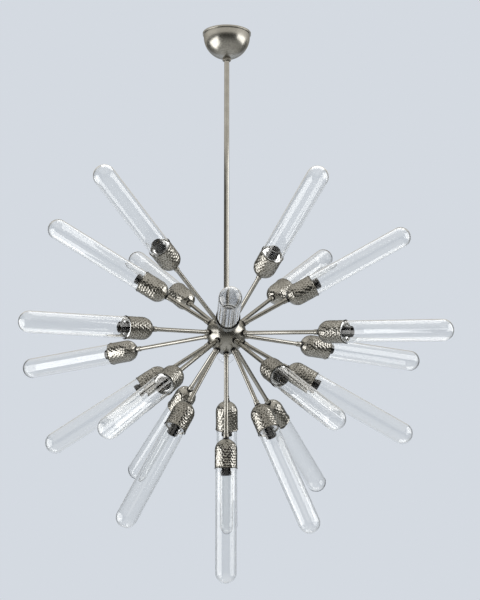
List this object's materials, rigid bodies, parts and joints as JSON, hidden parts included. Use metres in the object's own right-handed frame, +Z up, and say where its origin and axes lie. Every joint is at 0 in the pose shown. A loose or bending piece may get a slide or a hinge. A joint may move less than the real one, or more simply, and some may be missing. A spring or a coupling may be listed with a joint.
{
  "type": "sputnik chandelier",
  "caption": "Rod-hung chandelier: a nickel ball with radiating tubular arms, each ending in a hammered cup, a lamp holder and a pull-off clear glass tube.",
  "frame": {"origin": "on the ceiling, in the middle between the two ceiling screws, on the line of the rod", "axes": "+Z up along the rod into the ceiling; -Y towards the viewer of the picture; +X to the picture's right"},
  "size_m": [0.8549, 0.8453, 1.1303],
  "materials": {
    "satin_nickel": "satin nickel plate, finely brushed",
    "hammered_nickel": "hammered nickel plate",
    "dark_nickel": "dark knurled nickel",
    "bright_chrome": "bright plate",
    "zinc_steel": "zinc plate",
    "clear_glass": "clear, polished",
    "black_plastic": "glossy black",
    "white_plastic": "matt white",
    "lead_sheath": "smooth white sheath",
    "black_rubber": "matt black",
    "brass_shell": "plain brass"
  },
  "bodies": {
    "frame": {"ceiling_strap": "zinc_steel", "terminal_block": "white_plastic", "supply_lead": "lead_sheath", "down_rod": "satin_nickel", "rod_nuts": "zinc_steel", "ball_top_nut": "satin_nickel", "ball_shell": "satin_nickel", "splice_boot": "lead_sheath", "ball_bushes": "black_plastic", "ball_sleeves": "satin_nickel", "arm_washers": "zinc_steel", "arm_nuts": "zinc_steel", "cup_sleeves": "satin_nickel", "cup_bushes": "black_plastic", "seat_spacers": "zinc_steel", "bright_seats": "bright_chrome", "seat_nuts": "zinc_steel", "grip_rings": "black_rubber", "screw_shells": "brass_shell", "centre_contacts": "brass_shell", "arm_leads": "lead_sheath", "short_stems": "satin_nickel", "medium_stems": "satin_nickel", "long_stems": "satin_nickel", "upper_cups": "hammered_nickel", "upper_lamp_holders": "black_plastic", "middle_cups": "hammered_nickel", "middle_lamp_holders": "black_plastic", "lower_cups": "hammered_nickel", "lower_lamp_holders": "black_plastic", "bottom_cups": "hammered_nickel", "bottom_lamp_holders": "black_plastic", "lowest_cups": "hammered_nickel", "lowest_lamp_holders": "black_plastic"},
    "canopy": {"canopy_dome": "satin_nickel", "canopy_collar": "dark_nickel", "collar_set_screw": "zinc_steel"},
    "glass_upper_1": {"glass_upper_1": "clear_glass"},
    "glass_upper_2": {"glass_upper_2": "clear_glass"},
    "glass_upper_3": {"glass_upper_3": "clear_glass"},
    "glass_upper_4": {"glass_upper_4": "clear_glass"},
    "glass_upper_5": {"glass_upper_5": "clear_glass"},
    "glass_upper_6": {"glass_upper_6": "clear_glass"},
    "glass_middle_1": {"glass_middle_1": "clear_glass"},
    "glass_middle_2": {"glass_middle_2": "clear_glass"},
    "glass_middle_3": {"glass_middle_3": "clear_glass"},
    "glass_middle_4": {"glass_middle_4": "clear_glass"},
    "glass_middle_5": {"glass_middle_5": "clear_glass"},
    "glass_middle_6": {"glass_middle_6": "clear_glass"},
    "glass_lower_1": {"glass_lower_1": "clear_glass"},
    "glass_lower_2": {"glass_lower_2": "clear_glass"},
    "glass_lower_3": {"glass_lower_3": "clear_glass"},
    "glass_lower_4": {"glass_lower_4": "clear_glass"},
    "glass_lower_5": {"glass_lower_5": "clear_glass"},
    "glass_lower_6": {"glass_lower_6": "clear_glass"},
    "glass_bottom_1": {"glass_bottom_1": "clear_glass"},
    "glass_bottom_2": {"glass_bottom_2": "clear_glass"},
    "glass_bottom_3": {"glass_bottom_3": "clear_glass"},
    "glass_lowest_1": {"glass_lowest_1": "clear_glass"}
  },
  "joints": [
    {"name": "canopy_slide", "type": "slide", "parent": "frame", "child": "canopy", "axis": [0, 0, -1], "range_m": [0, 0.5]},
    {"name": "pull_glass_upper_1", "type": "slide", "parent": "frame", "child": "glass_upper_1", "axis": [-0.4679, -0.7488, 0.4695], "range_m": [0, 0.045]},
    {"name": "pull_glass_upper_2", "type": "slide", "parent": "frame", "child": "glass_upper_2", "axis": [0.385, -0.7556, 0.5299], "range_m": [0, 0.045]},
    {"name": "pull_glass_upper_3", "type": "slide", "parent": "frame", "child": "glass_upper_3", "axis": [0.8741, -0.0305, 0.4848], "range_m": [0, 0.045]},
    {"name": "pull_glass_upper_4", "type": "slide", "parent": "frame", "child": "glass_upper_4", "axis": [0.4589, 0.7344, 0.5], "range_m": [0, 0.045]},
    {"name": "pull_glass_upper_5", "type": "slide", "parent": "frame", "child": "glass_upper_5", "axis": [-0.4542, 0.7269, 0.515], "range_m": [0, 0.045]},
    {"name": "pull_glass_upper_6", "type": "slide", "parent": "frame", "child": "glass_upper_6", "axis": [-0.848, 0, 0.5299], "range_m": [0, 0.045]},
    {"name": "pull_glass_middle_1", "type": "slide", "parent": "frame", "child": "glass_middle_1", "axis": [0.0174, -0.9992, -0.0349], "range_m": [0, 0.045]},
    {"name": "pull_glass_middle_2", "type": "slide", "parent": "frame", "child": "glass_middle_2", "axis": [0.8448, -0.5279, -0.0872], "range_m": [0, 0.045]},
    {"name": "pull_glass_middle_3", "type": "slide", "parent": "frame", "child": "glass_middle_3", "axis": [0.8976, 0.4378, -0.0523], "range_m": [0, 0.045]},
    {"name": "pull_glass_middle_4", "type": "slide", "parent": "frame", "child": "glass_middle_4", "axis": [0, 0.9976, 0.0698], "range_m": [0, 0.045]},
    {"name": "pull_glass_middle_5", "type": "slide", "parent": "frame", "child": "glass_middle_5", "axis": [-0.8725, 0.4836, -0.0698], "range_m": [0, 0.045]},
    {"name": "pull_glass_middle_6", "type": "slide", "parent": "frame", "child": "glass_middle_6", "axis": [-0.8469, -0.5292, -0.0523], "range_m": [0, 0.045]},
    {"name": "pull_glass_lower_1", "type": "slide", "parent": "frame", "child": "glass_lower_1", "axis": [-0.433, -0.75, -0.5], "range_m": [0, 0.045]},
    {"name": "pull_glass_lower_2", "type": "slide", "parent": "frame", "child": "glass_lower_2", "axis": [0.446, -0.7423, -0.5], "range_m": [0, 0.045]},
    {"name": "pull_glass_lower_3", "type": "slide", "parent": "frame", "child": "glass_lower_3", "axis": [0.866, 0, -0.5], "range_m": [0, 0.045]},
    {"name": "pull_glass_lower_4", "type": "slide", "parent": "frame", "child": "glass_lower_4", "axis": [0.4145, 0.718, -0.5592], "range_m": [0, 0.045]},
    {"name": "pull_glass_lower_5", "type": "slide", "parent": "frame", "child": "glass_lower_5", "axis": [-0.4393, 0.7031, -0.5592], "range_m": [0, 0.045]},
    {"name": "pull_glass_lower_6", "type": "slide", "parent": "frame", "child": "glass_lower_6", "axis": [-0.8382, 0.0293, -0.5446], "range_m": [0, 0.045]},
    {"name": "pull_glass_bottom_1", "type": "slide", "parent": "frame", "child": "glass_bottom_1", "axis": [-0.433, -0.25, -0.866], "range_m": [0, 0.045]},
    {"name": "pull_glass_bottom_2", "type": "slide", "parent": "frame", "child": "glass_bottom_2", "axis": [0.3626, -0.2732, -0.891], "range_m": [0, 0.045]},
    {"name": "pull_glass_bottom_3", "type": "slide", "parent": "frame", "child": "glass_bottom_3", "axis": [0.0071, 0.4067, -0.9135], "range_m": [0, 0.045]},
    {"name": "pull_glass_lowest_1", "type": "slide", "parent": "frame", "child": "glass_lowest_1", "axis": [0, 0, -1], "range_m": [0, 0.045]}
  ]
}
